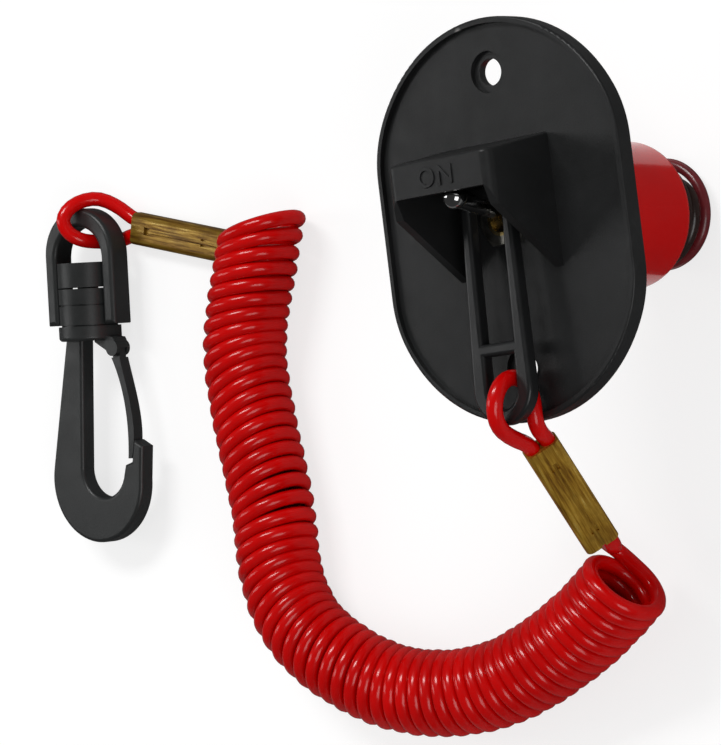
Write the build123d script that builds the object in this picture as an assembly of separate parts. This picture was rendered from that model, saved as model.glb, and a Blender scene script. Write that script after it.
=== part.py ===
from build123d import *
import os
from math import asin, degrees, hypot, pi, radians, sqrt, tan

# An engine kill switch with its coiled lanyard. Millimetres.
# The origin is the centre of the faceplate's back face, +Z points out of the panel,
# +Y points to the closed side of the hood, and the lanyard hangs off the open side.

# Faceplate and hood
PLATE_W = 63.5
PLATE_H = 82.6
PLATE_SIDE = 32.5
PLATE_RIM_Z = 4.0
PLATE_FACE_Z = 2.8
PLATE_RIM_W = 1.2
PLATE_EDGE_R = 0.5
PLATE_CORNER_R = 24.0
SCREW_Y = 30.3
SCREW_HOLE_D = 5.6
SCREW_SEAT_D = 8.6
SCREW_SEAT_DEPTH = 1.0
RING_WALL = 1.5
RING_DEPTH = 4.0
CUP_SEAT_DEPTH = 0.5
CUP_SEAT_GAP = 0.1
CUP_RIM_STEP = 0.3
HOOD_HALF_W = 13.35
HOOD_WALL = 2.0
HOOD_TOP_Z = 22.6
HOOD_LIP_LOW_Y = 5.9
HOOD_LIP_HIGH_Y = 12.9
HOOD_ROOT_HIGH_Y = 16.1
HOOD_ROOT_LOW_Y = -11.5
HOOD_CHAMFER_Y = 4.0
HOOD_CHAMFER_Z = 1.6
HOOD_LIP_R = 2.2
HOOD_EDGE_R = 0.7

# Red housing behind the plate
CUP_WALL = 1.5
CUP_END_WALL = 2.0
CUP_LENGTH = 40.4
CUP_EDGE_R = 2.5
CUP_INNER_R = 1.0

# Toggle switch
NUT_AF = 10.0
NUT_T = 1.9
BUSH_D = 6.35
BUSH_HOLE_GAP = 0.12
BUSH_NECK_D = 2.9
BUSH_MOUTH_D = 5.0
BUSH_THROAT_D = 5.5
BUSH_BALL_GAP = 0.1
FLANGE_T = 1.2
WASHER_T = 0.5
WASHER_D = 10.4
WASHER_TEETH = 10
PIVOT_Z = 1.4
PIVOT_PIN_D = 1.0
PIVOT_PIN_GAP = 0.05
LEVER_LEAN = 17.0
LEVER_BALL_D = 3.8
LEVER_NECK_D = 2.2
LEVER_SHANK_D = 2.8
LEVER_SHANK_S = 7.8
LEVER_TIP_D = 5.2
LEVER_TIP_S = 17.2
LEVER_STUB_D = 3.0
LEVER_STUB_S = 5.0
PLUNGER_D = 1.6
PLUNGER_GAP = 0.1
PLUNGER_TIP_S = 8.6
PLUNGER_HEAD_S = 3.4
PLUNGER_BORE_S = 1.3
SPRING_WIRE_D = 0.26
SPRING_COILS = 4
CASE_W = 12.6
CASE_L = 20.5
CASE_WALL = 1.4
CASE_BOTTOM_Z = -13.4
CASE_CORNER_R = 1.0
BOARD_T = 2.0
BLADE_W = 4.75
BLADE_T = 0.8
BLADE_END_Z = -22.0
ROCKER_V = 14.0
ROCKER_TILT = 8.0
ROCKER_ARM = 6.0
ROCKER_W = 5.0
ROCKER_T = 0.7
ROCKER_Z = -8.4
ROCKER_GAP = 0.3
ROCKER_HUB_R = 0.8
CONTACT_Y = -5.6
CONTACT_D = 2.6
POST_W = 3.4

# The faceplate's ring clears the switch's case, and the housing fits around the ring
RING_CASE_GAP = 0.47
RING_GAP = 0.1
RING_INNER_R = hypot(CASE_W, CASE_L) / 2 + RING_CASE_GAP
RING_R = RING_INNER_R + RING_WALL
CUP_D = 2 * (RING_R + RING_GAP + CUP_WALL)

# Leads and their coils under the housing
LEAD_D = 2.4
LEAD_HOLE_GAP = 0.1
LEAD_RING_INSET = 4.85
LEAD_INNER_STEP = 2.75
LEAD_RING_R = CUP_D / 2 - LEAD_RING_INSET
LEAD_INNER_R = LEAD_RING_R - LEAD_INNER_STEP
LEAD_RING_GAP = 0.15
BLACK_COIL_TOP_Z = -42.0
BLACK_COIL_LOW_Z = -48.2
FLOOR_Z = -54.0
STRIP_D = 1.4
STRIP_OFFSET = 7.6
STRIP_LENGTH = 8.0
GROMMET_WALL = 0.7
GROMMET_FLANGE = 0.3
GROMMET_FLANGE_T = 0.7

# Kill key, its local frame leaning out a little from the plate at its lower end
KEY_FRONT_Z = 9.3
KEY_T = 3.2
KEY_LEAN = 2.2
KEY_TOP_Y = 6.95
KEY_BAR_Y = 3.95
KEY_SLOT_END_Y = -24.7
KEY_EYE_TOP_Y = -27.3
KEY_EYE_END_Y = -38.2
KEY_ROUND_Y = -34.0
KEY_TOP_HALF_W = 6.2
KEY_ROUND_R = 7.5
KEY_SLOT_W = 8.2
KEY_EYE_W = 7.6
KEY_EDGE_R = 0.8
KEY_CORNER_R = 1.2

# Lanyard cord, its fat outer coil and its two brass crimps
CORD_D = 3.4
COIL_D = 19.7
CRIMP_LENGTH = 29.0
CRIMP_W = 7.7
CRIMP_T = 4.5
CRIMP_EDGE_R = 1.5
CRIMP_LANE = 1.8
CRIMP_GAP = 0.05
CRIMP_SEAM_W = 0.9
CRIMP_SEAM_DEPTH = 0.6
CRIMP_DENT = 1.8
CRIMP_DENT_DEPTH = 0.65
CRIMP_DENT_INSET = 5.2

# Swivel yoke and snap hook, in their own frame: X across, Y along towards the eye
YOKE_T = 6.2
YOKE_HALF_W = 11.3
YOKE_TOP_Y = 20.8
YOKE_LEG_END_Y = -7.1
YOKE_LEG_GAP = 7.56
YOKE_EYE_TOP_Y = 16.3
YOKE_EYE_HALF_W = 7.6
YOKE_EDGE_R = 1.1
DRUM_D = 14.2
DRUM_LOW_Y = 1.9
DRUM_TOP_Y = 7.8
WEB_T = 3.0
COLLAR_TOP_Y = 1.6
COLLAR_SEAM_Y = -2.3
COLLAR_LOW_Y = -7.4
COLLAR_SEAM = 0.35
FLANGE_LOW_Y = -10.9
FLANGE_D = 15.0
SPIGOT_D = 5.0
SPIGOT_GAP = 0.05
SPIGOT_TOP_Y = 5.6
SPIGOT_END_GAP = 0.3
HOOK_T = 4.4
HOOK_EDGE_R = 0.9
HOOK_BEND_Y = -44.4
HOOK_BEND_X = 1.5
HOOK_BEND_R = 14.9
HOOK_ROOT_DEPTH = 1.75
HOOK_SPINE_X = -0.8
HOOK_SPINE_W = 5.4
HOOK_SPINE_FOOT = (-2.9, -41.9)
HOOK_WINDOW_LOW = (2.6, -48.4)
HOOK_NOSE = [(17.2, -36.4), (14.4, -34.9), (13.3, -40.1), (11.1, -40.8), (10.4, -43.2)]
GATE_T = 3.0
GATE_BOSS_R = 1.4
GATE_LUG_WALL = 0.5
GATE_POCKET_GAP = 0.35
GATE_BOSS_T = 2.0
GATE_SIDE_GAP = 0.2
GATE_HINGE_X = 8.9
GATE_HINGE_Y = -12.9
GATE_PIN_D = 1.0
GATE_PIN_GAP = 0.05
GATE_LEFT = [(8.0, -15.2), (10.6, -21.8), (12.0, -29.4), (11.9, -39.3)]
GATE_RIGHT = [(13.0, -39.3), (14.0, -34.9), (12.9, -23.9), (10.7, -15.2)]
GATE_NECK = [(7.6, -12.8), (10.2, -12.8), (10.8, -16.6), (8.4, -16.6)]
LUG_ARM = [(3.4, -9.5), (9.4, -10.3), (10.8, -12.9), (7.1, -13.4), (3.4, -11.3)]


# Places that the lanyard's pieces share
CRIMP_KEY_TOP = Vector(1.1, -46.1, 2.0)
CRIMP_KEY_DIR = Vector(-3.1, -20.9, -20.0).normalized()
CRIMP_KEY_ACROSS = Vector(0.689, 0.435, -0.578)
CRIMP_HOOK_TOP = Vector(-155.8, 19.1, FLOOR_Z + CRIMP_T / 2)
CRIMP_HOOK_DIR = Vector(27.7, -8.2, 0.0).normalized()
CRIMP_HOOK_ACROSS = Vector(0.284, 0.959, 0.0)
YOKE_ORIGIN = Vector(-169.56, 4.98, FLOOR_Z + FLANGE_D / 2)
YOKE_ACROSS = Vector(0.996, -0.089, 0.0)

# The coil's centre line, laid on the floor and rising to the key's crimp
COIL_FLOOR_Z = FLOOR_Z + COIL_D / 2
COIL_ROUTE = [
    (-109.0, 13.4, COIL_FLOOR_Z), (-112.9, 3.5, COIL_FLOOR_Z), (-117.5, -7.6, COIL_FLOOR_Z),
    (-119.4, -16.7, COIL_FLOOR_Z), (-118.8, -28.3, COIL_FLOOR_Z), (-117.4, -40.0, COIL_FLOOR_Z),
    (-115.8, -51.7, COIL_FLOOR_Z), (-116.5, -63.3, COIL_FLOOR_Z), (-115.0, -72.4, COIL_FLOOR_Z),
    (-110.0, -81.2, COIL_FLOOR_Z), (-99.4, -89.0, COIL_FLOOR_Z), (-85.8, -95.2, COIL_FLOOR_Z),
    (-69.8, -97.5, COIL_FLOOR_Z), (-53.7, -96.0, -43.7), (-40.8, -91.8, -42.3),
    (-30.9, -87.7, -40.6), (-20.4, -83.0, -37.9), (-9.5, -76.8, -34.2),
]
LEAD_BLACK_ROUTE = [
    (0.0, CONTACT_Y, BLADE_END_Z), (0.0, CONTACT_Y, -25.0), (0.0, -6.6, -28.6), (0.0, -8.8, -31.8),
    (0.0, -10.2, -34.6), (0.0, -LEAD_RING_R, -37.6), (0.0, -LEAD_RING_R, BLACK_COIL_TOP_Z),
]
LEAD_RED_ROUTE = [
    (0.0, 0.0, BLADE_END_Z), (0.0, 0.0, -24.6), (0.0, -1.7, -27.9), (0.0, -4.9, -31.0),
    (0.0, -7.2, -34.2), (0.0, -LEAD_INNER_R, -37.6), (0.0, -LEAD_INNER_R, BLACK_COIL_TOP_Z),
]


# Shared shapes
def rod(start, end, diameter):
    start = Vector(start)
    axis = Vector(end) - start
    disc = Plane(origin=start, z_dir=axis) * Circle(diameter / 2)
    return extrude(disc, axis.length)


def turned(points):
    outline = make_face(Polyline(*[(r, 0, z) for r, z in points], close=True))
    return revolve(outline, Axis.Z)


def upright_box(x0, x1, y0, y1, z0, z1):
    place = Pos((x0 + x1) / 2, (y0 + y1) / 2, (z0 + z1) / 2)
    return place * Box(x1 - x0, y1 - y0, z1 - z0)


def corner_radii(route):
    points = [Vector(p) for p in route]
    radii = []
    for a, b, c in zip(points, points[1:], points[2:]):
        turn = radians((b - a).get_angle(c - b))
        radii.append(0.45 * min((b - a).length, (c - b).length) / tan(turn / 2))
    return radii


def tube(route, diameter, name):
    radii = corner_radii(route)
    path = FilletPolyline(*[Vector(p) for p in route], radius=radii)
    section = Plane(origin=path @ 0, z_dir=path % 0) * Circle(diameter / 2)
    solid = sweep(section, path=path)
    ideal = pi * diameter ** 2 / 4 * path.length
    print(f"{name}: length {path.length:.1f}, volume share {solid.volume / ideal:.4f}")
    print(f"{name}: radii in diameters", [round(r / diameter, 1) for r in radii])
    return solid


# Faceplate with its hood, one moulding
def plate_face(inset):
    half_w = PLATE_W / 2 - inset
    half_h = PLATE_H / 2 - inset
    side = PLATE_SIDE / 2
    right = Line((half_w, -side), (half_w, side))
    top = ThreePointArc((half_w, side), (0, half_h), (-half_w, side))
    left = Line((-half_w, side), (-half_w, -side))
    bottom = ThreePointArc((-half_w, -side), (0, -half_h), (half_w, -side))
    outline = make_face([right, top, left, bottom])
    return fillet(outline.vertices(), PLATE_CORNER_R - inset)


def side_profile(points, half_w):
    outline = make_face(Polyline(*[(0, y, z) for y, z in points], close=True))
    return extrude(outline, half_w, dir=(1, 0, 0), both=True)


def hood():
    root_z = PLATE_FACE_Z - 0.5
    roof_slope = (HOOD_ROOT_HIGH_Y - HOOD_LIP_HIGH_Y) / (HOOD_TOP_Z - PLATE_FACE_Z)
    chamfer_y = HOOD_LIP_LOW_Y - HOOD_CHAMFER_Y
    chamfer_z = HOOD_TOP_Z - HOOD_CHAMFER_Z
    outer = side_profile([
        (HOOD_ROOT_HIGH_Y + roof_slope * 0.5, root_z), (HOOD_LIP_HIGH_Y, HOOD_TOP_Z),
        (HOOD_LIP_LOW_Y, HOOD_TOP_Z), (chamfer_y, chamfer_z), (HOOD_ROOT_LOW_Y, root_z),
    ], HOOD_HALF_W)
    top_edges = outer.edges().group_by(Axis.Z)[-1].filter_by(Axis.Y)
    outer = fillet(top_edges, HOOD_LIP_R)
    lip_edge = outer.edges().filter_by(Axis.X).group_by(Axis.Z)[-1].sort_by(Axis.Y)[-1:]
    outer = fillet(lip_edge, HOOD_EDGE_R)
    ceiling_z = HOOD_TOP_Z - HOOD_WALL
    roof_root_y = HOOD_ROOT_HIGH_Y - HOOD_WALL
    roof_ceiling_y = roof_root_y - roof_slope * (ceiling_z - PLATE_FACE_Z)
    open_y = -PLATE_H
    inner = side_profile([
        (roof_root_y, PLATE_FACE_Z), (roof_ceiling_y, ceiling_z),
        (open_y, ceiling_z), (open_y, PLATE_FACE_Z),
    ], HOOD_HALF_W - HOOD_WALL)
    mouth = upright_box(
        -HOOD_HALF_W + HOOD_WALL, HOOD_HALF_W - HOOD_WALL, open_y, HOOD_LIP_LOW_Y,
        PLATE_FACE_Z, HOOD_TOP_Z + HOOD_WALL)
    return outer, inner + mouth


def faceplate():
    plate = extrude(plate_face(0), PLATE_RIM_Z)
    plate = fillet(plate.edges().group_by(Axis.Z)[-1], PLATE_EDGE_R)
    plate = plate - Pos(0, 0, PLATE_FACE_Z) * extrude(plate_face(PLATE_RIM_W), PLATE_RIM_Z)
    shell, hollow = hood()
    plate = plate + (shell - hollow)
    seat = rod((0, 0, -1), (0, 0, CUP_SEAT_DEPTH), CUP_D + 2 * CUP_SEAT_GAP)
    plate = plate - (seat - rod((0, 0, -2), (0, 0, PLATE_RIM_Z), 2 * RING_R))
    ring = Cylinder(RING_R, RING_DEPTH) - Cylinder(RING_INNER_R, RING_DEPTH)
    plate = plate + Pos(0, 0, -RING_DEPTH / 2) * ring
    bore = rod((0, 0, -RING_DEPTH), (0, 0, PLATE_RIM_Z), BUSH_D + 2 * BUSH_HOLE_GAP)
    plate = plate - bore
    for y in (-SCREW_Y, SCREW_Y):
        plate = plate - rod((0, y, -1), (0, y, PLATE_RIM_Z), SCREW_HOLE_D)
        seat_z = PLATE_FACE_Z - SCREW_SEAT_DEPTH
        plate = plate - rod((0, y, seat_z), (0, y, PLATE_RIM_Z + 1), SCREW_SEAT_D)
    return plate


# Housing and the grommet that its leads pass through
def grommet_slot(grow):
    length = LEAD_RING_R - LEAD_INNER_R + LEAD_D + 2 * (LEAD_HOLE_GAP + GROMMET_WALL + grow)
    width = LEAD_D + 2 * (LEAD_HOLE_GAP + GROMMET_WALL / 2 + grow)
    middle = -(LEAD_RING_R + LEAD_INNER_R) / 2
    return Pos(0, middle) * Rot(0, 0, 90) * SlotOverall(length, width)


def red_housing():
    outer = rod((0, 0, -CUP_LENGTH), (0, 0, 0), CUP_D)
    outer = fillet(outer.edges().group_by(Axis.Z)[0], CUP_EDGE_R)
    outer = outer + rod((0, 0, 0), (0, 0, CUP_SEAT_DEPTH), CUP_D - 2 * CUP_RIM_STEP)
    inner_low = CUP_END_WALL - CUP_LENGTH
    inner = rod((0, 0, inner_low), (0, 0, CUP_SEAT_DEPTH), CUP_D - 2 * CUP_WALL)
    inner = fillet(inner.edges().group_by(Axis.Z)[0], CUP_INNER_R)
    hole = Pos(0, 0, -CUP_LENGTH - 1) * extrude(grommet_slot(0), CUP_END_WALL + 2)
    return outer - inner - hole


def wire_grommet():
    low = -CUP_LENGTH - GROMMET_FLANGE_T
    high = -CUP_LENGTH + CUP_END_WALL
    body = Pos(0, 0, low) * extrude(grommet_slot(0), high - low + GROMMET_FLANGE_T)
    body = body + Pos(0, 0, low) * extrude(grommet_slot(GROMMET_FLANGE), GROMMET_FLANGE_T)
    body = body + Pos(0, 0, high) * extrude(grommet_slot(GROMMET_FLANGE), GROMMET_FLANGE_T)
    for r in (LEAD_RING_R, LEAD_INNER_R):
        hole = rod((0, -r, low - 1), (0, -r, high + 2), LEAD_D + 2 * LEAD_HOLE_GAP)
        body = body - hole
    return body


# Toggle switch
def bushing():
    top_z = PLATE_FACE_Z + NUT_T
    flange_top = -WASHER_T
    flange_low = flange_top - FLANGE_T
    flange = upright_box(-CASE_W / 2, CASE_W / 2, -CASE_L / 2, CASE_L / 2, flange_low, flange_top)
    flange = fillet(flange.edges().filter_by(Axis.Z), CASE_CORNER_R)
    body = flange + rod((0, 0, flange_top), (0, 0, top_z), BUSH_D)
    ball = Pos(0, 0, PIVOT_Z) * Sphere(LEVER_BALL_D / 2 + BUSH_BALL_GAP)
    waist = BUSH_NECK_D / 2
    hollow = turned([
        (0, flange_low - 1), (BUSH_THROAT_D / 2, flange_low - 1), (BUSH_THROAT_D / 2, flange_low),
        (waist, PIVOT_Z), (BUSH_MOUTH_D / 2, top_z), (BUSH_MOUTH_D / 2, top_z + 1), (0, top_z + 1),
    ])
    pin = rod((-BUSH_D, 0, PIVOT_Z), (BUSH_D, 0, PIVOT_Z), PIVOT_PIN_D)
    return body - ball - hollow - pin


def pivot_pin():
    half = BUSH_D / 2 - 0.1
    return rod((-half, 0, PIVOT_Z), (half, 0, PIVOT_Z), PIVOT_PIN_D)


def hex_nut():
    nut = Pos(0, 0, PLATE_FACE_Z) * extrude(RegularPolygon(NUT_AF / 2, 6, major_radius=False), NUT_T)
    crown = turned([
        (0, PLATE_FACE_Z), (NUT_AF, PLATE_FACE_Z), (NUT_AF / 2 + 0.9, PLATE_FACE_Z + NUT_T - 0.5),
        (NUT_AF / 2 - 0.1, PLATE_FACE_Z + NUT_T), (0, PLATE_FACE_Z + NUT_T),
    ])
    return (nut & crown) - rod((0, 0, 0), (0, 0, 2 * NUT_AF), BUSH_D)


def lock_washer():
    washer = rod((0, 0, -WASHER_T), (0, 0, 0), WASHER_D)
    washer = washer - rod((0, 0, -1), (0, 0, 1), BUSH_D + 2 * BUSH_HOLE_GAP)
    tooth_r = BUSH_D / 2 + 0.5
    for index in range(WASHER_TEETH):
        notch = Rot(0, 0, 360 / WASHER_TEETH * index) * Pos(tooth_r, 0, 0) * Box(1.6, 1.0, 3)
        washer = washer - notch
    return washer


def lever_axis():
    return Location((0, 0, PIVOT_Z), (-LEVER_LEAN, 0, 0))


def toggle_lever():
    profile = [
        (0, -LEVER_STUB_S), (LEVER_STUB_D / 2, -LEVER_STUB_S), (LEVER_STUB_D / 2, -0.6),
        (LEVER_NECK_D / 2, 1.4), (LEVER_SHANK_D / 2, LEVER_SHANK_S),
        (LEVER_TIP_D / 2 - 0.25, LEVER_TIP_S - 1.1), (LEVER_TIP_D / 2 - 0.1, LEVER_TIP_S - 0.3),
        (0, LEVER_TIP_S),
    ]
    lever = turned(profile) + Sphere(LEVER_BALL_D / 2) + Pos(0, 0, LEVER_TIP_S) * Sphere(LEVER_TIP_D / 2)
    lever = lever - rod((0, 0, -PLUNGER_BORE_S), (0, 0, -2 * LEVER_STUB_S), PLUNGER_D + 2 * PLUNGER_GAP)
    lever = lever - rod((-LEVER_BALL_D, 0, 0), (LEVER_BALL_D, 0, 0), PIVOT_PIN_D + 2 * PIVOT_PIN_GAP)
    return lever_axis() * lever


def lever_plunger():
    radius = PLUNGER_D / 2
    shank = rod((0, 0, -PLUNGER_HEAD_S), (0, 0, -PLUNGER_TIP_S + radius), PLUNGER_D)
    return lever_axis() * (shank + Pos(0, 0, -PLUNGER_TIP_S + radius) * Sphere(radius))


def lever_spring():
    height = PLUNGER_HEAD_S - PLUNGER_BORE_S - SPRING_WIRE_D
    radius = PLUNGER_D / 2 - SPRING_WIRE_D / 2
    path = Helix(height / SPRING_COILS, height, radius)
    wire = Plane(origin=path @ 0, z_dir=path % 0) * Circle(SPRING_WIRE_D / 2)
    low = -PLUNGER_HEAD_S + SPRING_WIRE_D / 2
    return lever_axis() * Pos(0, 0, low) * sweep(wire, path=path, is_frenet=True)


def switch_case():
    top = -WASHER_T - FLANGE_T
    case = upright_box(-CASE_W / 2, CASE_W / 2, -CASE_L / 2, CASE_L / 2, CASE_BOTTOM_Z, top)
    case = fillet(case.edges().filter_by(Axis.Z), CASE_CORNER_R)
    half_w = CASE_W / 2 - CASE_WALL
    half_l = CASE_L / 2 - CASE_WALL
    return case - upright_box(-half_w, half_w, -half_l, half_l, CASE_BOTTOM_Z - 1, top + 1)


def blade_slot(y):
    return upright_box(
        -BLADE_W / 2, BLADE_W / 2, y - BLADE_T / 2, y + BLADE_T / 2,
        CASE_BOTTOM_Z - BOARD_T - 1, CASE_BOTTOM_Z + 1)


def terminal_board():
    low = CASE_BOTTOM_Z - BOARD_T
    board = upright_box(-CASE_W / 2, CASE_W / 2, -CASE_L / 2, CASE_L / 2, low, CASE_BOTTOM_Z)
    board = fillet(board.edges().filter_by(Axis.Z), CASE_CORNER_R)
    return board - blade_slot(0) - blade_slot(CONTACT_Y)


def blade(y):
    return upright_box(
        -BLADE_W / 2, BLADE_W / 2, y - BLADE_T / 2, y + BLADE_T / 2, BLADE_END_Z, CASE_BOTTOM_Z)


def terminal_common():
    head_z = ROCKER_Z - ROCKER_HUB_R - ROCKER_GAP
    ridge_r = 0.8
    post = upright_box(
        -POST_W / 2, POST_W / 2, -BLADE_T, BLADE_T, CASE_BOTTOM_Z, head_z - ridge_r)
    ridge = rod((-POST_W / 2, 0, head_z - ridge_r), (POST_W / 2, 0, head_z - ridge_r), 2 * ridge_r)
    return blade(0) + post + ridge


def contact_top_z():
    rise = tan(radians(ROCKER_V - ROCKER_TILT))
    return ROCKER_Z - CONTACT_Y * rise - ROCKER_GAP


def terminal_run():
    top = contact_top_z()
    stem = rod((0, CONTACT_Y, CASE_BOTTOM_Z), (0, CONTACT_Y, top), CONTACT_D - 0.8)
    button = rod((0, CONTACT_Y, top - 1.2), (0, CONTACT_Y, top), CONTACT_D)
    button = fillet(button.edges().group_by(Axis.Z)[-1], 0.4)
    return blade(CONTACT_Y) + stem + button


def contact_rocker():
    drop = ROCKER_ARM * tan(radians(ROCKER_V))
    outline = Polyline(
        (0, -ROCKER_ARM, drop), (0, 0, 0), (0, ROCKER_ARM, drop),
        (0, ROCKER_ARM, drop + ROCKER_T), (0, 0, ROCKER_T), (0, -ROCKER_ARM, drop + ROCKER_T),
        close=True)
    strip = extrude(make_face(outline), ROCKER_W / 2, dir=(1, 0, 0), both=True)
    hub = rod((-ROCKER_W / 2, 0, 0), (ROCKER_W / 2, 0, 0), 2 * ROCKER_HUB_R)
    return Location((0, 0, ROCKER_Z), (ROCKER_TILT, 0, 0)) * (strip + hub)


# Leads outside the housing: each coil is one closed ring of its turns
def lead_ring(low, high):
    outer = LEAD_RING_R + LEAD_D / 2 + LEAD_RING_GAP
    inner = LEAD_RING_R - LEAD_D / 2 - LEAD_RING_GAP
    ring = rod((0, 0, low), (0, 0, high), 2 * outer) - rod((0, 0, low - 1), (0, 0, high + 1), 2 * inner)
    edges = ring.edges().filter_by(GeomType.CIRCLE)
    return fillet(edges, LEAD_D / 3)


def strip_end(side, z):
    inner = LEAD_RING_R - LEAD_D / 2 - LEAD_RING_GAP
    reach = sqrt(inner ** 2 - STRIP_OFFSET ** 2)
    start = side * (reach + 2)
    wire = rod((start, STRIP_OFFSET, z), (side * (reach - STRIP_LENGTH), STRIP_OFFSET, z), STRIP_D)
    return wire & rod((0, 0, z - LEAD_D), (0, 0, z + LEAD_D), 2 * inner)


def lead_black_coil():
    return lead_ring(BLACK_COIL_LOW_Z, BLACK_COIL_TOP_Z)


def lead_red_coil():
    ring = lead_ring(FLOOR_Z, BLACK_COIL_LOW_Z)
    middle = FLOOR_Z + LEAD_D / 2 + 0.9
    riser = rod((0, -LEAD_INNER_R, middle), (0, -LEAD_INNER_R, BLACK_COIL_TOP_Z), LEAD_D)
    step = rod((0, -LEAD_INNER_R, middle), (0, -LEAD_RING_R, middle), LEAD_D)
    return ring + riser + step + Pos(0, -LEAD_INNER_R, middle) * Sphere(LEAD_D / 2)


# Kill key
def key_frame():
    return Location((0, KEY_BAR_Y, KEY_FRONT_Z), (-KEY_LEAN, 0, 0)) * Pos(0, -KEY_BAR_Y, 0)


def kill_key():
    body = make_face(Polyline(
        (KEY_TOP_HALF_W, KEY_TOP_Y), (-KEY_TOP_HALF_W, KEY_TOP_Y),
        (-KEY_ROUND_R, KEY_ROUND_Y), (KEY_ROUND_R, KEY_ROUND_Y), close=True))
    body = fillet(body.vertices().group_by(Axis.Y)[-1], KEY_CORNER_R)
    body = body + Pos(0, KEY_ROUND_Y) * Circle(KEY_ROUND_R)
    slot_l = KEY_BAR_Y - KEY_SLOT_END_Y
    slot = Pos(0, (KEY_BAR_Y + KEY_SLOT_END_Y) / 2) * Rectangle(KEY_SLOT_W, slot_l)
    eye_r = KEY_EYE_W / 2
    eye = Pos(0, KEY_EYE_END_Y + eye_r) * Circle(eye_r)
    eye = eye + Pos(0, (KEY_EYE_TOP_Y + KEY_EYE_END_Y + eye_r) / 2) * Rectangle(
        KEY_EYE_W, KEY_EYE_TOP_Y - KEY_EYE_END_Y - eye_r)
    key = Pos(0, 0, -KEY_T) * extrude(body - slot - eye, KEY_T)
    flat_edges = key.edges().group_by(Axis.Z)[0] + key.edges().group_by(Axis.Z)[-1]
    return key_frame() * fillet(flat_edges, KEY_EDGE_R)


# Crimps: pressed ferrules with two lanes for the cord
def crimp(top, direction, across):
    frame = Plane(origin=top, x_dir=across, z_dir=direction)
    body = extrude(RectangleRounded(CRIMP_W, CRIMP_T, CRIMP_EDGE_R), CRIMP_LENGTH)
    for side in (-1, 1):
        lane = rod((side * CRIMP_LANE, 0, -1), (side * CRIMP_LANE, 0, CRIMP_LENGTH + 1),
                   CORD_D + 2 * CRIMP_GAP)
        body = body - lane
    face_y = CRIMP_T / 2
    seam = upright_box(-CRIMP_SEAM_W / 2, CRIMP_SEAM_W / 2, face_y - CRIMP_SEAM_DEPTH, face_y + 1,
                       CRIMP_DENT_INSET, CRIMP_LENGTH + 1)
    body = body - seam
    for z in (CRIMP_DENT_INSET, CRIMP_LENGTH - CRIMP_DENT_INSET):
        dent = upright_box(-CRIMP_DENT / 2, CRIMP_DENT / 2, face_y - CRIMP_DENT_DEPTH, face_y + 1,
                           z - CRIMP_DENT / 2, z + CRIMP_DENT / 2)
        body = body - dent
    return frame.location * body


def lane_point(top, direction, across, side, distance):
    return top + across * (side * CRIMP_LANE) + direction * distance


def key_crimp():
    return crimp(CRIMP_KEY_TOP, CRIMP_KEY_DIR, CRIMP_KEY_ACROSS)


def hook_crimp():
    return crimp(CRIMP_HOOK_TOP, CRIMP_HOOK_DIR, CRIMP_HOOK_ACROSS)


# Swivel yoke, snap hook and gate
def yoke_plane():
    return Plane(origin=YOKE_ORIGIN, x_dir=YOKE_ACROSS, z_dir=(0, 0, 1))


def slab(face, thickness):
    return extrude(face, thickness / 2, both=True)


def drum(low_y, top_y, diameter):
    return rod((0, low_y, 0), (0, top_y, 0), diameter)


def swivel_yoke():
    shoulder = YOKE_TOP_Y - YOKE_HALF_W
    legs_l = shoulder - YOKE_LEG_END_Y
    outline = Pos(0, shoulder) * Circle(YOKE_HALF_W)
    outline = outline + Pos(0, shoulder - legs_l / 2) * Rectangle(2 * YOKE_HALF_W, legs_l)
    fork_l = DRUM_TOP_Y - YOKE_LEG_END_Y + 1
    outline = outline - Pos(0, DRUM_TOP_Y - fork_l / 2) * Rectangle(2 * YOKE_LEG_GAP, fork_l)
    eye_middle = YOKE_EYE_TOP_Y - YOKE_EYE_HALF_W
    outline = outline - Pos(0, eye_middle) * Circle(YOKE_EYE_HALF_W)
    step = eye_middle - DRUM_TOP_Y
    outline = outline - Pos(0, eye_middle - step / 2) * Rectangle(2 * YOKE_EYE_HALF_W, step)
    bow = slab(outline, YOKE_T)
    flat_edges = bow.edges().group_by(Axis.Z)[0] + bow.edges().group_by(Axis.Z)[-1]
    bow = fillet(flat_edges, YOKE_EDGE_R)
    bar = drum(DRUM_LOW_Y, DRUM_TOP_Y, DRUM_D)
    reach = YOKE_LEG_GAP + 1
    web = upright_box(-reach, reach, DRUM_LOW_Y, DRUM_TOP_Y, -WEB_T / 2, WEB_T / 2)
    socket_top = SPIGOT_TOP_Y + SPIGOT_END_GAP
    socket = drum(DRUM_LOW_Y - 1, socket_top, SPIGOT_D + 2 * SPIGOT_GAP)
    return yoke_plane().location * (bow + bar + web - socket)


def seam_groove(y):
    ring = drum(y - COLLAR_SEAM / 2, y + COLLAR_SEAM / 2, DRUM_D + 1)
    return ring - drum(y - COLLAR_SEAM, y + COLLAR_SEAM, DRUM_D - 2 * COLLAR_SEAM)


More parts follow.
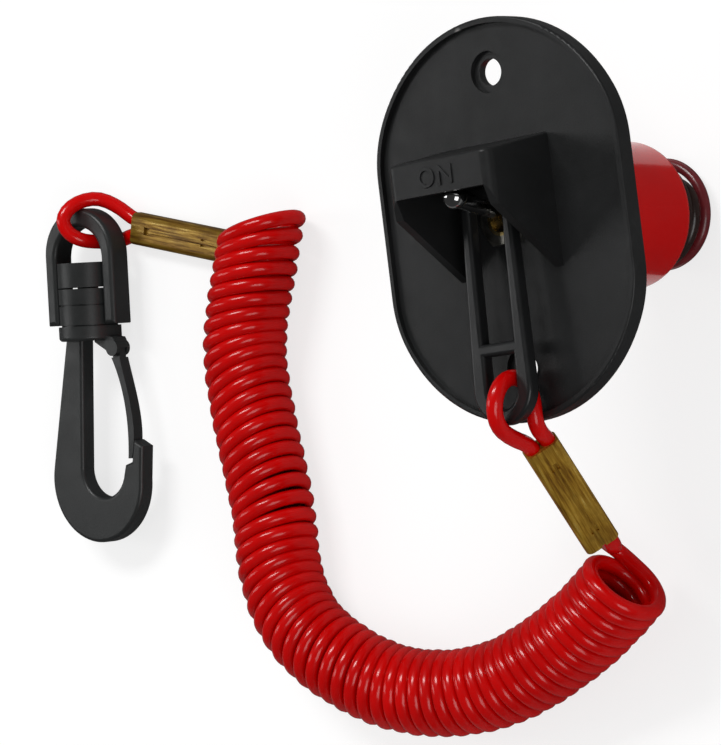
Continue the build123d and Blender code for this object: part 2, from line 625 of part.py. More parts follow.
def hook_outline():
    root_y = FLANGE_LOW_Y + HOOK_ROOT_DEPTH
    root = Vector(HOOK_SPINE_X - HOOK_SPINE_W, root_y)
    middle = Vector(HOOK_BEND_X, HOOK_BEND_Y)
    reach = (middle - root).length
    swing = degrees(asin(HOOK_BEND_R / reach))
    run = sqrt(reach ** 2 - HOOK_BEND_R ** 2)
    bend_left = root + (middle - root).normalized().rotate(Axis.Z, -swing) * run
    bend_low = (HOOK_BEND_X, HOOK_BEND_Y - HOOK_BEND_R)
    bend_right = (HOOK_BEND_X + HOOK_BEND_R, HOOK_BEND_Y)
    outer = ThreePointArc(bend_left, bend_low, bend_right)
    nose = Polyline(bend_right, *HOOK_NOSE)
    window = ThreePointArc(HOOK_NOSE[-1], HOOK_WINDOW_LOW, HOOK_SPINE_FOOT)
    spine = Polyline(HOOK_SPINE_FOOT, (HOOK_SPINE_X, root_y), root, bend_left)
    return make_face([outer, nose, window, spine])


def gate_lug():
    lug = Pos(GATE_HINGE_X, GATE_HINGE_Y) * Circle(GATE_BOSS_R + GATE_LUG_WALL)
    return slab(lug + make_face(Polyline(*LUG_ARM, close=True)), HOOK_T)


def snap_hook():
    stem = drum(SPIGOT_TOP_Y, COLLAR_LOW_Y, SPIGOT_D)
    collars = drum(COLLAR_LOW_Y, COLLAR_TOP_Y, DRUM_D)
    collars = collars - seam_groove(COLLAR_SEAM_Y) - seam_groove(COLLAR_LOW_Y + COLLAR_SEAM / 2)
    flange = drum(FLANGE_LOW_Y, COLLAR_LOW_Y, FLANGE_D)
    flange = fillet(flange.edges().filter_by(GeomType.CIRCLE).sort_by(Axis.Y)[:1], HOOK_EDGE_R)
    blade_body = slab(hook_outline(), HOOK_T)
    rims = blade_body.edges().group_by(Axis.Z)[0] + blade_body.edges().group_by(Axis.Z)[-1]
    blade_body = fillet(rims, HOOK_EDGE_R)
    pocket_t = GATE_BOSS_T + 2 * GATE_SIDE_GAP
    pocket = slab(Pos(GATE_HINGE_X, GATE_HINGE_Y) * Circle(GATE_BOSS_R + GATE_POCKET_GAP), pocket_t)
    pocket = pocket + slab(Pos(GATE_HINGE_X, GATE_HINGE_Y - 3) * Rectangle(7.6, 6), pocket_t)
    lug = gate_lug() - pocket
    pin_hole = rod((GATE_HINGE_X, GATE_HINGE_Y, -HOOK_T), (GATE_HINGE_X, GATE_HINGE_Y, HOOK_T), GATE_PIN_D)
    return yoke_plane().location * (stem + collars + flange + blade_body + lug - pin_hole)


def gate_pin():
    pin = rod((GATE_HINGE_X, GATE_HINGE_Y, -HOOK_T / 2), (GATE_HINGE_X, GATE_HINGE_Y, HOOK_T / 2), GATE_PIN_D)
    return yoke_plane().location * pin


def hook_gate():
    tip = Line(GATE_LEFT[-1], GATE_RIGHT[0])
    root = Line(GATE_RIGHT[-1], GATE_LEFT[0])
    leaf = slab(make_face([Spline(*GATE_LEFT), tip, Spline(*GATE_RIGHT), root]), GATE_T)
    neck = slab(make_face(Polyline(*GATE_NECK, close=True)), GATE_BOSS_T)
    boss = slab(Pos(GATE_HINGE_X, GATE_HINGE_Y) * Circle(GATE_BOSS_R), GATE_BOSS_T)
    hole = rod((GATE_HINGE_X, GATE_HINGE_Y, -HOOK_T), (GATE_HINGE_X, GATE_HINGE_Y, HOOK_T),
               GATE_PIN_D + 2 * GATE_PIN_GAP)
    return yoke_plane().location * (leaf + neck + boss - hole)


# Cord
COIL_BODY = tube(COIL_ROUTE, COIL_D, "lanyard_coil")


def lanyard_coil():
    return COIL_BODY


def key_loop():
    frame = (CRIMP_KEY_TOP, CRIMP_KEY_DIR, CRIMP_KEY_ACROSS)
    route = [
        lane_point(*frame, -1, CRIMP_LENGTH - 1.5), lane_point(*frame, -1, -1.6),
        (0.1, -44.6, 8.2), (-0.2, -42.3, 12.6), (0.6, -38.6, 14.8), (1.5, -34.8, 14.4),
        (1.8, -32.4, 11.8), (1.8, -31.9, 8.2), (2.6, -33.4, 5.4), (3.9, -36.8, 5.9),
        (3.8, -41.2, 6.05), (3.3, -43.5, 4.3), lane_point(*frame, 1, -1.0),
        lane_point(*frame, 1, CRIMP_LENGTH + 3.5), (-3.0, -72.3, -28.0), (-6.0, -73.0, -35.0),
        (-12.5, -78.0, -40.5),
    ]
    return tube(route, CORD_D, "key_loop") - COIL_BODY


def hook_loop():
    frame = (CRIMP_HOOK_TOP, CRIMP_HOOK_DIR, CRIMP_HOOK_ACROSS)
    route = [
        lane_point(*frame, -1, CRIMP_LENGTH - 1.5), lane_point(*frame, -1, -1.4),
        (-160.2, 17.2, -52.1), (-163.2, 16.9, -51.2), (-165.2, 17.2, -47.2), (-166.2, 17.8, -42.8),
        (-168.4, 20.0, -40.7), (-168.9, 23.5, -39.8), (-167.1, 26.8, -42.4),
        (-163.8, 27.9, -47.4), (-159.6, 24.9, -50.2), lane_point(*frame, 1, -1.2),
        lane_point(*frame, 1, CRIMP_LENGTH + 3.0), (-118.4, 10.9, -50.0),
    ]
    return tube(route, CORD_D, "hook_loop") - COIL_BODY


def lead_black():
    return tube(LEAD_BLACK_ROUTE, LEAD_D, "lead_black")


def lead_red():
    return tube(LEAD_RED_ROUTE, LEAD_D, "lead_red")


def lead_black_end():
    return strip_end(1, BLACK_COIL_LOW_Z + 2 * LEAD_D)


def lead_red_end():
    return strip_end(-1, FLOOR_Z + LEAD_D)


PIECES = {
    "faceplate": faceplate,
    "red_housing": red_housing,
    "wire_grommet": wire_grommet,
    "bushing": bushing,
    "hex_nut": hex_nut,
    "lock_washer": lock_washer,
    "pivot_pin": pivot_pin,
    "toggle_lever": toggle_lever,
    "lever_plunger": lever_plunger,
    "lever_spring": lever_spring,
    "switch_case": switch_case,
    "terminal_board": terminal_board,
    "terminal_common": terminal_common,
    "terminal_run": terminal_run,
    "contact_rocker": contact_rocker,
    "lead_black": lead_black,
    "lead_red": lead_red,
    "lead_black_coil": lead_black_coil,
    "lead_red_coil": lead_red_coil,
    "lead_black_end": lead_black_end,
    "lead_red_end": lead_red_end,
    "kill_key": kill_key,
    "key_crimp": key_crimp,
    "key_loop": key_loop,
    "lanyard_coil": lanyard_coil,
    "hook_loop": hook_loop,
    "hook_crimp": hook_crimp,
    "swivel_yoke": swivel_yoke,
    "snap_hook": snap_hook,
    "hook_gate": hook_gate,
    "gate_pin": gate_pin,
}

os.makedirs("parts", exist_ok=True)
for name, make in PIECES.items():
    export_step(make(), f"parts/{name}.step")
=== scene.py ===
import bpy
from math import cos, floor, pi, radians, sin
from mathutils import Matrix, Vector


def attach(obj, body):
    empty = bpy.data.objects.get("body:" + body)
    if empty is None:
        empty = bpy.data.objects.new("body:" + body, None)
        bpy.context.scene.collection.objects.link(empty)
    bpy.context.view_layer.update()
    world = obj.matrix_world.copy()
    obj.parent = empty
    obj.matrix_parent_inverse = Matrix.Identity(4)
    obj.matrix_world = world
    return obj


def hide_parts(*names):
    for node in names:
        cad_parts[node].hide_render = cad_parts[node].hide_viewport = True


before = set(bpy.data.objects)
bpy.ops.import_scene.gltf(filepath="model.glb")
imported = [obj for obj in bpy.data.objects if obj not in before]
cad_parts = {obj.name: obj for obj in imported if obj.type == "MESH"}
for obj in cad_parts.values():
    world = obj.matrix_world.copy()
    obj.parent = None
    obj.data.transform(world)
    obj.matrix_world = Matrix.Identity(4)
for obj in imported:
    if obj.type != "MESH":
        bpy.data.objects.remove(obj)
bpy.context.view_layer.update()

MM = 0.001

# Camera, fitted to the photograph, in metres and millimetres of film
CAMERA_PLACE = (0.506570, -0.058795, 0.633602)
CAMERA_RIGHT = Vector((0.74501708, -0.12048311, -0.65607421))
CAMERA_DOWN = Vector((-0.11639625, -0.99194415, 0.04998722))
CAMERA_FORWARD = Vector((-0.65681159, 0.03912325, -0.75303912))
CAMERA_LENS = 199.72
CAMERA_FILM = 36.0
CAMERA_REACH = 20.0


def camera():
    data = bpy.data.cameras.new("camera")
    data.lens = CAMERA_LENS
    data.sensor_width = CAMERA_FILM
    data.sensor_fit = "HORIZONTAL"
    data.clip_end = CAMERA_REACH
    obj = bpy.data.objects.new("camera", data)
    bpy.context.collection.objects.link(obj)
    turn = Matrix((CAMERA_RIGHT, -CAMERA_DOWN, -CAMERA_FORWARD)).transposed()
    obj.matrix_world = Matrix.Translation(CAMERA_PLACE) @ turn.to_4x4()
    bpy.context.scene.camera = obj


camera()


# Material nodes
class Shade:
    def __init__(self, name):
        self.material = bpy.data.materials.new(name)
        self.material.use_nodes = True
        self.nodes = self.material.node_tree.nodes
        self.links = self.material.node_tree.links
        self.skin = self.nodes["Principled BSDF"]
        self.place = self.nodes.new("ShaderNodeNewGeometry").outputs["Position"]

    def set(self, **values):
        for name, value in values.items():
            self.skin.inputs[name.replace("_", " ")].default_value = value
        return self

    def noise(self, scale, detail=3.0, rough=0.55, vector=None):
        node = self.nodes.new("ShaderNodeTexNoise")
        node.inputs["Scale"].default_value = scale
        node.inputs["Detail"].default_value = detail
        node.inputs["Roughness"].default_value = rough
        self.links.new(vector or self.place, node.inputs["Vector"])
        return node.outputs["Fac"]

    def ramp(self, value, stops):
        node = self.nodes.new("ShaderNodeValToRGB")
        band = node.color_ramp
        while len(band.elements) < len(stops):
            band.elements.new(0.5)
        for element, (at, colour) in zip(band.elements, stops):
            element.position = at
            element.color = (*colour, 1.0)
        self.links.new(value, node.inputs["Fac"])
        return node.outputs["Color"]

    def span(self, value, low, high, new_low, new_high):
        node = self.nodes.new("ShaderNodeMapRange")
        numbers = (low, high, new_low, new_high)
        for name, number in zip(("From Min", "From Max", "To Min", "To Max"), numbers):
            node.inputs[name].default_value = number
        self.links.new(value, node.inputs["Value"])
        return node.outputs["Result"]

    def along(self, directions, scales):
        joined = self.nodes.new("ShaderNodeCombineXYZ")
        for index, (direction, scale) in enumerate(zip(directions, scales)):
            dot = self.nodes.new("ShaderNodeVectorMath")
            dot.operation = "DOT_PRODUCT"
            self.links.new(self.place, dot.inputs[0])
            dot.inputs[1].default_value = Vector(direction) * scale
            self.links.new(dot.outputs["Value"], joined.inputs[index])
        return joined.outputs["Vector"]

    def mix(self, share, first, second):
        node = self.nodes.new("ShaderNodeMix")
        node.data_type = "RGBA"
        for name, value in (("Factor", share), ("A", first), ("B", second)):
            socket = [s for s in node.inputs if s.name == name and s.enabled][0]
            if isinstance(value, bpy.types.NodeSocket):
                self.links.new(value, socket)
            else:
                socket.default_value = value
        return [s for s in node.outputs if s.enabled][0]

    def near(self, point, inner, outer):
        node = self.nodes.new("ShaderNodeVectorMath")
        node.operation = "DISTANCE"
        self.links.new(self.place, node.inputs[0])
        node.inputs[1].default_value = point
        return self.span(node.outputs["Value"], inner, outer, 1.0, 0.0)

    def colour(self, value):
        self.links.new(value, self.skin.inputs["Base Color"])
        return self

    def rough(self, value):
        self.links.new(value, self.skin.inputs["Roughness"])
        return self

    def bump(self, value, height, strength=1.0):
        node = self.nodes.new("ShaderNodeBump")
        node.inputs["Distance"].default_value = height
        node.inputs["Strength"].default_value = strength
        self.links.new(value, node.inputs["Height"])
        if self.skin.inputs["Normal"].is_linked:
            self.links.new(self.skin.inputs["Normal"].links[0].from_socket, node.inputs["Normal"])
        self.links.new(node.outputs["Normal"], self.skin.inputs["Normal"])
        return self


def moulded(name, dark, light, low, high, grain):
    shade = Shade(name)
    cloud = shade.noise(90.0, 4.0)
    shade.colour(shade.ramp(cloud, [(0.35, dark), (0.7, light)]))
    shade.rough(shade.span(shade.noise(260.0, 3.0), 0.3, 0.7, low, high))
    shade.bump(shade.noise(grain, 2.0), 0.00003, 0.6)
    shade.bump(shade.noise(70.0, 1.0), 0.00012, 0.25)
    return shade


def plate_black():
    shade = moulded("plate_black", (0.0115, 0.012, 0.0122), (0.016, 0.0165, 0.017), 0.36, 0.46, 2600.0)
    scuff = shade.span(shade.noise(45.0, 6.0, 0.7), 0.62, 0.8, 0.0, 0.35)
    worn = shade.mix(scuff, shade.skin.inputs["Base Color"].links[0].from_socket, (0.04, 0.04, 0.04, 1))
    nick = shade.near(RIM_NICK, 0.0003, 0.001)
    shade.colour(shade.mix(nick, worn, (0.22, 0.22, 0.21, 1)))
    return shade.set(Specular_IOR_Level=0.42)


def key_black():
    shade = moulded("key_black", (0.0095, 0.01, 0.0105), (0.013, 0.0135, 0.014), 0.28, 0.36, 1800.0)
    return shade.set(Specular_IOR_Level=0.5)


def hook_black():
    shade = moulded("hook_black", (0.017, 0.0185, 0.0185), (0.024, 0.026, 0.026), 0.34, 0.44, 2200.0)
    return shade.set(Specular_IOR_Level=0.5)


def vinyl(name, dark, light, low, high, scale):
    shade = Shade(name)
    cloud = shade.noise(scale, 3.0)
    shade.colour(shade.ramp(cloud, [(0.3, dark), (0.7, light)]))
    shade.rough(shade.span(shade.noise(500.0, 2.0), 0.3, 0.7, low, high))
    shade.bump(shade.noise(260.0, 2.0), 0.00008, 0.35)
    return shade


def cord_red():
    shade = vinyl("cord_red", (0.52, 0.0002, 0.0002), (0.66, 0.0008, 0.0006), 0.18, 0.26, 60.0)
    return shade.set(Coat_Weight=0.25, Coat_Roughness=0.08, Specular_IOR_Level=0.3)


def housing_red():
    shade = vinyl("housing_red", (0.48, 0.0004, 0.0004), (0.56, 0.001, 0.001), 0.12, 0.18, 35.0)
    return shade.set(Coat_Weight=0.35, Coat_Roughness=0.1, Specular_IOR_Level=0.2)


def lead_skin(name, dark, light):
    return vinyl(name, dark, light, 0.25, 0.35, 220.0).set(Coat_Weight=0.2, Coat_Roughness=0.12)


def brass(name, directions, tone):
    shade = Shade(name)
    streak = shade.noise(1.0, 5.0, 0.65, shade.along(directions, (1500.0, 90.0, 1500.0)))
    cloud = shade.noise(160.0, 4.0)
    stops = [(0.3, (0.12, 0.035, 0.001)), (0.45, (0.42, 0.21, 0.015)), (0.6, (0.68, 0.4, 0.05)),
             (0.74, (1.0, 0.72, 0.22))]
    stops = [(at, [tone * part for part in colour]) for at, colour in stops]
    stain = (0.2 * tone, 0.09 * tone, 0.008 * tone, 1)
    tarnish = shade.span(cloud, 0.5, 0.72, 0.0, 0.55)
    shade.colour(shade.mix(tarnish, shade.ramp(streak, stops), stain))
    shade.rough(shade.span(streak, 0.3, 0.7, 0.42, 0.24))
    shade.bump(streak, 0.00006, 0.5)
    shade.bump(shade.noise(330.0, 2.0), 0.00015, 0.4)
    return shade.set(Metallic=0.5)


def metal(name, dark, light, low, high, scale):
    shade = Shade(name)
    cloud = shade.noise(scale, 4.0)
    shade.colour(shade.ramp(cloud, [(0.35, dark), (0.65, light)]))
    shade.rough(shade.span(shade.noise(900.0, 2.0), 0.3, 0.7, low, high))
    shade.bump(shade.noise(1200.0, 2.0), 0.00002, 0.3)
    return shade.set(Metallic=1.0)


def phenolic():
    shade = moulded("case_brown", (0.05, 0.022, 0.012), (0.085, 0.038, 0.02), 0.4, 0.5, 1600.0)
    return shade.set(Specular_IOR_Level=0.4)


def rubber():
    return moulded("grommet_rubber", (0.012, 0.012, 0.012), (0.02, 0.02, 0.02), 0.6, 0.75, 1400.0)


# Shared values, as in the part's source, in millimetres
FLOOR_Z = -54.0
CORD_D = 3.4
COIL_R = 8.05
CRIMP_LANE = 1.8
LEAD_D = 2.4
LEAD_RING_R = 10.75
LEAD_INNER_R = 8.0
CONTACT_Y = -5.6
BLADE_END_Z = -22.0
CRIMP_KEY_TOP = Vector((1.1, -46.1, 2.0))
CRIMP_KEY_DIR = Vector((-3.1, -20.9, -20.0)).normalized()
CRIMP_KEY_ACROSS = Vector((0.689, 0.435, -0.578))
CRIMP_HOOK_TOP = Vector((-155.8, 19.1, -51.75))
CRIMP_HOOK_DIR = Vector((27.7, -8.2, 0.0)).normalized()
CRIMP_HOOK_ACROSS = Vector((0.284, 0.959, 0.0))
COIL_FLOOR_Z = -44.15

# Places in metres: the nick in the plate's rim
RIM_NICK = (-0.0054, 0.0394, 0.0040)


# Cords
def nurbs(name, points, diameter, resolution):
    data = bpy.data.curves.new(name, "CURVE")
    data.dimensions = "3D"
    data.resolution_u = resolution
    data.bevel_depth = diameter * MM / 2
    data.bevel_resolution = 6
    data.use_fill_caps = diameter > 0
    spline = data.splines.new("NURBS")
    spline.points.add(len(points) - 1)
    for place, point in zip(spline.points, points):
        place.co = (*(Vector(point) * MM), 1.0)
    spline.order_u = 3
    spline.use_endpoint_u = True
    obj = bpy.data.objects.new(name, data)
    bpy.context.collection.objects.link(obj)
    return obj


def centre_line(points):
    guide = nurbs("guide", points, 0, 16)
    mesh = bpy.data.meshes.new_from_object(guide)
    line = [v.co / MM for v in mesh.vertices]
    bpy.data.objects.remove(guide)
    bpy.data.meshes.remove(mesh)
    return line


def line_length(line):
    return sum((b - a).length for a, b in zip(line, line[1:]))


def between(table, at):
    for (x0, y0), (x1, y1) in zip(table, table[1:]):
        if at <= x1:
            share = max(0.0, (at - x0) / (x1 - x0))
            smooth = share * share * (3 - 2 * share)
            return y0 + (y1 - y0) * smooth
    return table[-1][1]


def walk(line, at):
    reach = 3
    gone = 0.0
    for index, (a, b) in enumerate(zip(line, line[1:])):
        step = (b - a).length
        if gone + step >= at or index == len(line) - 2:
            before = line[max(0, index - reach)]
            after = line[min(len(line) - 1, index + 1 + reach)]
            return a + (b - a) * ((at - gone) / step), (after - before).normalized()
        gone += step


COIL_ROUTE = [
    (-109.0, 13.4, COIL_FLOOR_Z), (-112.9, 3.5, COIL_FLOOR_Z), (-117.5, -7.6, COIL_FLOOR_Z),
    (-119.4, -16.7, COIL_FLOOR_Z), (-118.8, -28.3, COIL_FLOOR_Z), (-117.4, -40.0, COIL_FLOOR_Z),
    (-115.8, -51.7, COIL_FLOOR_Z), (-116.5, -63.3, COIL_FLOOR_Z), (-115.0, -72.4, COIL_FLOOR_Z),
    (-110.0, -81.2, COIL_FLOOR_Z), (-99.4, -89.0, COIL_FLOOR_Z), (-85.8, -95.2, COIL_FLOOR_Z),
    (-69.8, -97.5, COIL_FLOOR_Z), (-53.7, -96.0, -43.7), (-40.8, -91.8, -42.3),
    (-30.9, -87.7, -40.6), (-20.4, -83.0, -37.9), (-8.2, -76.0, -33.9),
]
# Millimetres along the coil, and the pitch or the lean of the turns there
PITCH = [(0, 3.5), (95, 3.52), (125, 3.66), (206, 3.72)]
LEAN = [(0, -0.4), (30, -0.3), (80, -0.3), (125, 0.3), (200, 0.42)]
SIDE_LEAN = [(0, 0.42), (10, 0.25), (80, 0.16), (125, 0.0), (206, 0.0)]
TURN_POINTS = 16
# Angles round the coil's axis, in degrees, where the turns start and end
COIL_START = 220.0
COIL_END = 180.0


def coil_points():
    line = centre_line(COIL_ROUTE)
    total = line_length(line)
    step = 2 * pi / TURN_POINTS
    grow = 1 / cos(step / 2)
    angle = radians(COIL_START)
    at = 0.0
    points = []
    while at < total:
        middle, axis = walk(line, at)
        near = (CAMERA_FORWARD.dot(axis) * axis - CAMERA_FORWARD).normalized()
        side = axis.cross(near)
        wobble = 0.05 * sin(0.61 * angle) + 0.03 * sin(0.23 * angle + 1.3)
        radius = (COIL_R + wobble) * grow
        offset = near * cos(angle) + side * sin(angle)
        lean = radius * (between(LEAN, at) * cos(angle) + between(SIDE_LEAN, at) * sin(angle))
        points.append((middle + offset * radius + axis * lean, angle))
        at += between(PITCH, at) / TURN_POINTS
        angle += step
    turns = floor((points[-1][1] - radians(COIL_END)) / (2 * pi))
    last = radians(COIL_END) + turns * 2 * pi
    return [point for point, angle in points if angle <= last]


def lane(top, direction, across, side, distance):
    return top + across * (side * CRIMP_LANE) + direction * distance


def key_lane(side, distance):
    return lane(CRIMP_KEY_TOP, CRIMP_KEY_DIR, CRIMP_KEY_ACROSS, side, distance)


def hook_lane(side, distance):
    return lane(CRIMP_HOOK_TOP, CRIMP_HOOK_DIR, CRIMP_HOOK_ACROSS, side, distance)


def lanyard_cord():
    hook_end = [
        hook_lane(-1, 27.5), hook_lane(-1, 12.0), hook_lane(-1, 3.0), hook_lane(-1, -1.4),
        (-160.2, 17.2, -52.1), (-163.2, 16.9, -51.2), (-165.2, 17.2, -47.2), (-166.2, 17.8, -42.8),
        (-168.4, 20.0, -40.7), (-168.9, 23.5, -39.8), (-167.1, 26.8, -42.4),
        (-163.8, 27.9, -47.4), (-159.6, 24.9, -50.2), hook_lane(1, -1.2), hook_lane(1, 4.0),
        hook_lane(1, 16.0), hook_lane(1, 26.0), hook_lane(1, 30.5), (-122.3, 11.6, -52.1),
        (-115.8, 11.3, -52.3),
    ]
    key_end = [
        (-15.8, -70.0, -41.6), (-16.2, -67.6, -37.9), (-12.4, -67.2, -33.0), (-7.2, -68.4, -28.0),
        key_lane(1, 32.5), key_lane(1, 27.0), key_lane(1, 14.0),
        key_lane(1, 3.0), key_lane(1, -1.0), (3.3, -43.5, 4.3), (3.8, -41.2, 6.05),
        (3.9, -36.8, 5.9), (2.6, -33.4, 5.4), (1.8, -31.9, 8.2), (1.8, -32.4, 11.8), (1.5, -34.8, 14.4),
        (0.6, -38.6, 14.8), (-0.2, -42.3, 12.6), (0.1, -44.6, 8.2), key_lane(-1, -1.6),
        key_lane(-1, 3.0), key_lane(-1, 14.0), key_lane(-1, 27.5),
    ]
    points = hook_end + coil_points() + key_end
    cord = nurbs("lanyard_cord", points, CORD_D, 3)
    length = line_length(centre_line(points))
    print("lanyard cord", round(length, 1))
    cord.data.materials.append(cord_red().material)
    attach(cord, "lanyard")
    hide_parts("key_loop", "lanyard_coil", "hook_loop")


def ring_points(start, sweep, z_start, z_end, count, r_start=LEAD_RING_R):
    points = []
    for index in range(count + 1):
        share = index / count
        angle = radians(start + sweep * share)
        radius = r_start + (LEAD_RING_R - r_start) * min(1.0, share * 6)
        grow = 1 / cos(radians(sweep / count) / 2)
        z = z_start + (z_end - z_start) * share
        points.append((radius * grow * cos(angle), radius * grow * sin(angle), z))
    return points


def lead(name, points, material, nodes):
    cord = nurbs(name, points, LEAD_D, 6)
    length = line_length(centre_line(points))
    print(name, round(length, 1))
    cord.data.materials.append(material)
    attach(cord, "switch")
    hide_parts(*nodes)


def leads():
    black = [
        (0.0, CONTACT_Y, BLADE_END_Z), (0.0, CONTACT_Y, -25.0), (0.0, -6.6, -28.6), (0.0, -8.8, -31.8),
        (0.0, -10.2, -34.6), (0.0, -LEAD_RING_R, -37.6), (0.0, -LEAD_RING_R, -41.2), (0.9, -10.8, -43.0),
    ]
    black += ring_points(-72, 450, -44.0, -47.1, 19)
    black += [(7.4, 6.0, -47.0), (4.8, 6.8, -46.0), (2.9, 7.4, -44.7), (1.6, 7.6, -43.6), (0.5, 7.6, -43.4)]
    red = [
        (0.0, 0.0, BLADE_END_Z), (0.0, 0.0, -24.6), (0.0, -1.7, -27.9), (0.0, -4.9, -31.0),
        (0.0, -7.2, -34.2), (0.0, -LEAD_INNER_R, -37.6), (0.0, -LEAD_INNER_R, -42.0),
        (0.0, -LEAD_INNER_R, -48.6), (-0.8, -8.1, -51.6),
    ]
    red += ring_points(-108, -450, -52.7, -49.5, 19, 8.8)
    red += [
        (-7.4, 6.0, -49.7), (-4.9, 6.9, -50.3), (-2.8, 7.4, -51.0), (-1.6, 7.6, -51.5), (-0.5, 7.6, -51.6),
    ]
    black_skin = lead_skin("lead_black_skin", (0.018, 0.008, 0.006), (0.028, 0.013, 0.01)).material
    red_skin = lead_skin("lead_maroon_skin", (0.11, 0.01, 0.014), (0.17, 0.018, 0.022)).material
    lead("black_lead_cord", black, black_skin,
         ["lead_black", "lead_black_coil"])
    lead("red_lead_cord", red, red_skin,
         ["lead_red", "lead_red_coil"])


lanyard_cord()
leads()


# The word on the hood's lip, raised like a moulded mark
def lip_word(material):
    data = bpy.data.curves.new("lip_word", "FONT")
    data.body = "ON"
    data.size = 5.6 * MM
    data.extrude = 0.22 * MM
    data.bevel_depth = 0.06 * MM
    data.space_character = 1.15
    data.align_x = "CENTER"
    data.align_y = "CENTER"
    obj = bpy.data.objects.new("lip_word", data)
    bpy.context.collection.objects.link(obj)
    obj.location = Vector((-0.5, 9.1, 22.62)) * MM
    data.materials.append(material)
    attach(obj, "switch")


def dress():
    key_side = (CRIMP_KEY_ACROSS, CRIMP_KEY_DIR, CRIMP_KEY_ACROSS.cross(CRIMP_KEY_DIR))
    hook_side = (CRIMP_HOOK_ACROSS, CRIMP_HOOK_DIR, CRIMP_HOOK_ACROSS.cross(CRIMP_HOOK_DIR))
    plate = plate_black().material
    zinc = metal("zinc_steel", (0.34, 0.33, 0.29), (0.5, 0.49, 0.45), 0.28, 0.38, 500.0).material
    hook = hook_black().material
    case = phenolic().material
    contact = metal("contact_brass", (0.5, 0.36, 0.13), (0.7, 0.54, 0.24), 0.22, 0.34, 400.0).material
    copper = metal("copper_strand", (0.5, 0.2, 0.1), (0.75, 0.36, 0.2), 0.25, 0.35, 900.0).material
    chrome = metal("lever_chrome", (0.66, 0.66, 0.66), (0.8, 0.8, 0.79), 0.08, 0.14, 300.0).material
    looks = {
        "faceplate": plate,
        "red_housing": housing_red().material,
        "wire_grommet": rubber().material,
        "bushing": contact,
        "hex_nut": zinc,
        "lock_washer": zinc,
        "pivot_pin": zinc,
        "toggle_lever": chrome,
        "lever_plunger": case,
        "lever_spring": zinc,
        "switch_case": case,
        "terminal_board": case,
        "terminal_common": contact,
        "terminal_run": contact,
        "contact_rocker": contact,
        "lead_black_end": copper,
        "lead_red_end": copper,
        "kill_key": key_black().material,
        "key_crimp": brass("crimp_brass", key_side, 0.95).material,
        # the hook crimp is the same brass painted at half brightness, as painted shade
        "hook_crimp": brass("crimp_brass_painted_shade", hook_side, 0.5).material,
        "swivel_yoke": hook,
        "snap_hook": hook,
        "hook_gate": hook,
        "gate_pin": hook,
    }
    for node, material in looks.items():
        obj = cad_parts[node]
        if not obj.material_slots:
            obj.data.materials.append(material)
        for slot in obj.material_slots:
            slot.material = material
    lip_word(plate)


dress()


# Floor and light. The shares say how bright a ray of that kind sees the floor or the sky.
FLOOR_SEEN = 0.35
FLOOR_GLOW = 0.72
FLOOR_SEEN_IN_GLOSS = 0.15
SKY_SEEN_IN_GLOSS = 0.1
SKY_LIGHT = 0.34
FLOOR_REACH = 4.0


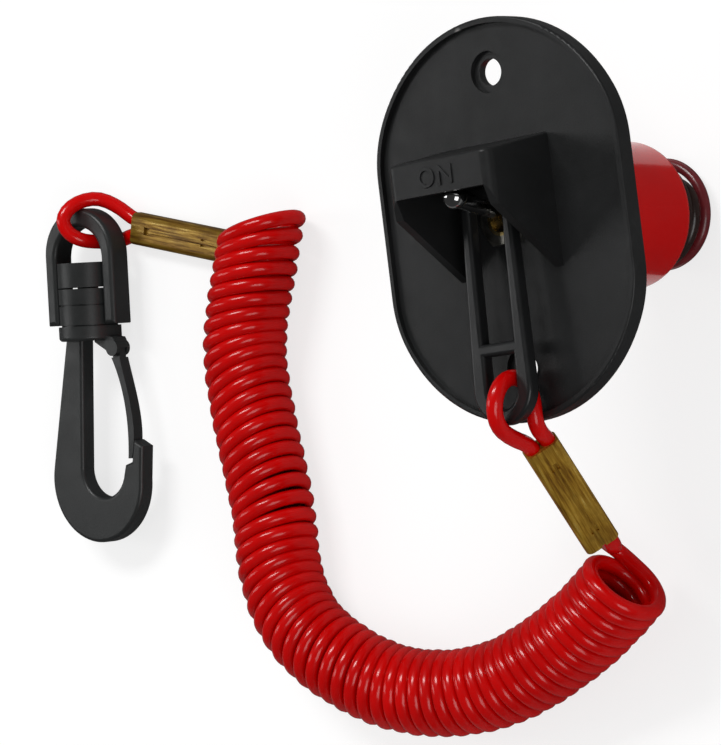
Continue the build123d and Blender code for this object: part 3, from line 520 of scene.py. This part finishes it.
def white_floor():
    mesh = bpy.data.meshes.new("floor")
    z = FLOOR_Z * MM
    corners = [(x * FLOOR_REACH, y * FLOOR_REACH, z) for x, y in ((-1, -1), (1, -1), (1, 1), (-1, 1))]
    mesh.from_pydata(corners, [], [(0, 1, 2, 3)])
    floor_obj = bpy.data.objects.new("floor", mesh)
    bpy.context.collection.objects.link(floor_obj)
    material = bpy.data.materials.new("floor")
    material.use_nodes = True
    nodes = material.node_tree.nodes
    links = material.node_tree.links
    skin = nodes["Principled BSDF"]
    skin.inputs["Roughness"].default_value = 0.9
    skin.inputs["Specular IOR Level"].default_value = 0.0
    path = nodes.new("ShaderNodeLightPath")
    paint = (0.8, 0.8, 0.8, 1)
    for ray, seen in (("Is Camera Ray", FLOOR_SEEN), ("Is Glossy Ray", FLOOR_SEEN_IN_GLOSS)):
        pale = nodes.new("ShaderNodeMix")
        pale.data_type = "RGBA"
        if isinstance(paint, bpy.types.NodeSocket):
            links.new(paint, pale.inputs["A"])
        else:
            pale.inputs["A"].default_value = paint
        pale.inputs["B"].default_value = (seen, seen, seen, 1)
        links.new(path.outputs[ray], pale.inputs["Factor"])
        paint = pale.outputs["Result"]
    links.new(paint, skin.inputs["Base Color"])
    glow = nodes.new("ShaderNodeMath")
    glow.operation = "MULTIPLY"
    glow.inputs[1].default_value = FLOOR_GLOW
    links.new(path.outputs["Is Camera Ray"], glow.inputs[0])
    skin.inputs["Emission Color"].default_value = (1, 1, 1, 1)
    links.new(glow.outputs[0], skin.inputs["Emission Strength"])
    mesh.materials.append(material)


def soft_box(name, place, target, size, power):
    data = bpy.data.lights.new(name, "AREA")
    data.shape = "RECTANGLE"
    data.size = size[0]
    data.size_y = size[1]
    data.energy = power
    obj = bpy.data.objects.new(name, data)
    bpy.context.collection.objects.link(obj)
    obj.location = place
    aim = Vector(target) - Vector(place)
    obj.rotation_euler = aim.to_track_quat("-Z", "Y").to_euler()
    return obj


def bounce_card(name, place, size, power):
    obj = soft_box(name, place, Vector(place) + Vector((0, 0, 0.1)), size, power)
    obj.visible_camera = False


def sky():
    world = bpy.data.worlds.new("studio")
    bpy.context.scene.world = world
    world.use_nodes = True
    back = world.node_tree.nodes["Background"]
    back.inputs["Color"].default_value = (1, 1, 1, 1)
    nodes = world.node_tree.nodes
    links = world.node_tree.links
    path = nodes.new("ShaderNodeLightPath")
    both = nodes.new("ShaderNodeMath")
    both.operation = "MULTIPLY"
    shares = (("Is Camera Ray", SKY_LIGHT, 1.0), ("Is Glossy Ray", 1.0, SKY_SEEN_IN_GLOSS))
    for socket, (ray, otherwise, seen) in zip(both.inputs, shares):
        share = nodes.new("ShaderNodeMapRange")
        share.inputs["To Min"].default_value = otherwise
        share.inputs["To Max"].default_value = seen
        links.new(path.outputs[ray], share.inputs["Value"])
        links.new(share.outputs["Result"], socket)
    links.new(both.outputs[0], back.inputs["Strength"])


white_floor()
sky()
soft_box("key_light", (-0.15, 1.0, 1.15), (-0.03, -0.03, 0.0), (0.8, 0.35), 12.0)
soft_box("fill_light", (1.1, -0.6, 0.9), (-0.05, -0.03, 0.0), (0.8, 0.8), 6.0)
soft_box("left_light", (-1.2, 0.2, 0.8), (-0.08, -0.03, -0.03), (0.3, 0.9), 2.0)
# Small cards on the floor, which the red housing's gloss shows
bounce_card("card_above", (0.001, 0.028, -0.0535), (0.03, 0.02), 0.0014)
bounce_card("card_below", (-0.008, -0.0265, -0.0535), (0.02, 0.019), 0.0008)

bpy.context.scene.view_settings.view_transform = "Standard"
